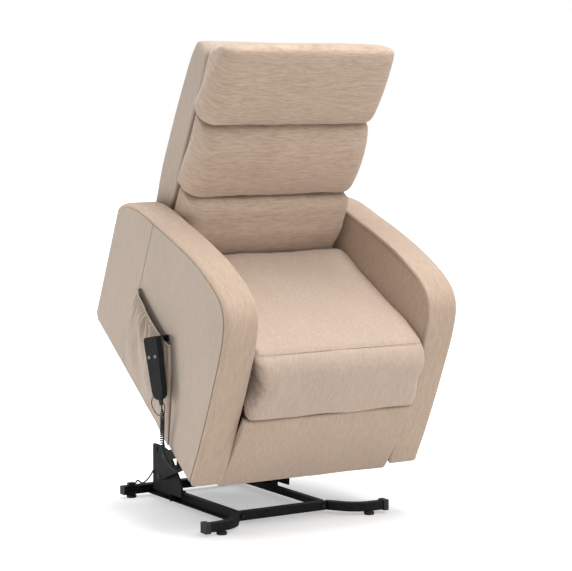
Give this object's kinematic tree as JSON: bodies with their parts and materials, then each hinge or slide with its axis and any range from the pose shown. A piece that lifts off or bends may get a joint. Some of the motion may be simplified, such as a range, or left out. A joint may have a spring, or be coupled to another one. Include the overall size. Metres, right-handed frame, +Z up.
{
  "type": "lift recliner",
  "caption": "Upholstered one-seat recliner on a low steel base, shown raised and tipped forwards by a motor and four-bar links, with a wired handset in its side pocket.",
  "frame": {"origin": "floor under the middle of the whole object in its raised rest pose", "axes": "+Z up, +Y towards the back of the chair, +X across the chair, to its right as seen from in front"},
  "size_m": [0.8229, 0.85, 1.3604],
  "materials": {
    "steel_black": "satin black powder coat",
    "plated_steel": "zinc plated",
    "plastic_caps": "matt black",
    "plastic_black": "matt black",
    "rubber_feet": "matt black",
    "lead_black": "matt black",
    "cord_rubber": "satin dark grey",
    "handset_plastic": "fine grain dark grey",
    "button_grey": "smooth pale grey",
    "wood": "bare",
    "upholstery": "slubby beige weave",
    "panel_cloth": "plain greyer beige cloth"
  },
  "bodies": {
    "base": {"rear_cross_tube": "steel_black", "front_cross_tube": "steel_black", "side_rail_left": "steel_black", "side_rail_right": "steel_black", "outrigger_left": "steel_black", "outrigger_right": "steel_black", "base_end_caps": "plastic_caps", "rubber_feet": "rubber_feet", "upright_left": "steel_black", "upright_right": "steel_black", "actuator_bracket": "steel_black", "base_pivot_pins": "plated_steel", "base_bolts": "plated_steel", "power_lead": "lead_black", "lead_connector": "plastic_black"},
    "lift_links": {"lift_link_left": "steel_black", "lift_link_right": "steel_black", "torque_tube": "steel_black"},
    "tilt_links": {"tilt_link_left": "steel_black", "tilt_link_right": "steel_black"},
    "actuator": {"motor_gearbox": "plastic_black", "motor_can": "plastic_black", "actuator_tube": "plastic_black"},
    "rod": {"actuator_rod": "plated_steel", "rod_end": "plastic_black"},
    "chair": {"mechanism_plate_left": "steel_black", "mechanism_plate_right": "steel_black", "chair_pivot_pins": "plated_steel", "drive_tube": "steel_black", "seat_frame": "wood", "seat_springs": "plated_steel", "seat_cushion": "upholstery", "arm_left": "upholstery", "arm_right": "upholstery", "side_panel_left": "panel_cloth", "side_panel_right": "panel_cloth", "side_pocket": "panel_cloth", "rear_panel": "panel_cloth", "recline_brackets": "steel_black", "cord_gland": "plastic_black", "handset_front": "handset_plastic", "handset_back": "handset_plastic", "handset_relief": "cord_rubber", "handset_cord": "cord_rubber", "handset_loop": "lead_black"},
    "back": {"back_frame": "steel_black", "back_shell": "upholstery", "head_cushion": "upholstery", "middle_cushion": "upholstery", "lumbar_cushion": "upholstery"},
    "footrest_front_arms": {"footrest_front_links": "steel_black"},
    "footrest_rear_arms": {"footrest_rear_links": "steel_black"},
    "footrest_carriage": {"footrest_carrier": "steel_black"},
    "footrest_flip": {"flip_links": "steel_black"},
    "footrest": {"footrest_board": "wood", "footrest_pad": "upholstery"},
    "button_up": {"handset_buttons_up": "button_grey"},
    "button_down": {"handset_buttons_down": "button_grey"}
  },
  "joints": [
    {"name": "lift", "type": "hinge", "parent": "base", "child": "lift_links", "pos_m": [0, 0.2522, 0.15], "axis": [1, 0, 0], "range_deg": [0, 16]},
    {"name": "chair_tip", "type": "hinge", "parent": "lift_links", "child": "chair", "pos_m": [0, -0.21532, 0.2615], "axis": [1, 0, 0], "range_deg": [-52.6, 0]},
    {"name": "tilt_link_swing", "type": "hinge", "parent": "base", "child": "tilt_links", "pos_m": [0, 0.2662, 0.086], "axis": [1, 0, 0], "range_deg": [0, 20.9]},
    {"name": "actuator_swing", "type": "hinge", "parent": "base", "child": "actuator", "pos_m": [0, 0.3442, 0.058], "axis": [1, 0, 0], "range_deg": [0, 11.5]},
    {"name": "rod_slide", "type": "slide", "parent": "actuator", "child": "rod", "axis": [0, -0.8962, 0.4436], "range_m": [-0.0856, 0]},
    {"name": "recline", "type": "hinge", "parent": "chair", "child": "back", "pos_m": [0, 0.07801, 0.74601], "axis": [1, 0, 0], "range_deg": [-38, 0]},
    {"name": "footrest_swing", "type": "hinge", "parent": "chair", "child": "footrest_front_arms", "pos_m": [0, -0.26676, 0.34783], "axis": [1, 0, 0], "range_deg": [-78, 0]},
    {"name": "footrest_rear_swing", "type": "hinge", "parent": "chair", "child": "footrest_rear_arms", "pos_m": [0, -0.22146, 0.36394], "axis": [1, 0, 0], "range_deg": [-78.2, 0]},
    {"name": "footrest_carriage_turn", "type": "hinge", "parent": "footrest_front_arms", "child": "footrest_carriage", "pos_m": [0, -0.16862, 0.21519], "axis": [1, 0, 0], "range_deg": [0, 78.2]},
    {"name": "footrest_flip_turn", "type": "hinge", "parent": "footrest_front_arms", "child": "footrest_flip", "pos_m": [0, -0.16703, 0.24498], "axis": [1, 0, 0], "range_deg": [0, 78.2]},
    {"name": "footrest_board_turn", "type": "hinge", "parent": "footrest_carriage", "child": "footrest", "pos_m": [0, -0.30505, 0.33568], "axis": [1, 0, 0], "range_deg": [-78.2, 0]},
    {"name": "up_button_press", "type": "slide", "parent": "chair", "child": "button_up", "axis": [0.9703, 0.2419, 0], "range_m": [0, 0.001], "stiffness_N_per_m": 400},
    {"name": "down_button_press", "type": "slide", "parent": "chair", "child": "button_down", "axis": [0.9703, 0.2419, 0], "range_m": [0, 0.001], "stiffness_N_per_m": 400}
  ],
  "couplings": [
    {"joint": "chair_tip", "follows": "lift", "ratio": -3.2812},
    {"joint": "tilt_link_swing", "follows": "lift", "ratio": 1.3015},
    {"joint": "actuator_swing", "follows": "lift", "ratio": 0.715},
    {"joint": "rod_slide", "follows": "lift", "m_per_rad": -0.3051},
    {"joint": "footrest_rear_swing", "follows": "footrest_swing", "ratio": 1},
    {"joint": "footrest_carriage_turn", "follows": "footrest_swing", "ratio": -1},
    {"joint": "footrest_flip_turn", "follows": "footrest_swing", "ratio": -1},
    {"joint": "footrest_board_turn", "follows": "footrest_swing", "ratio": 1}
  ]
}
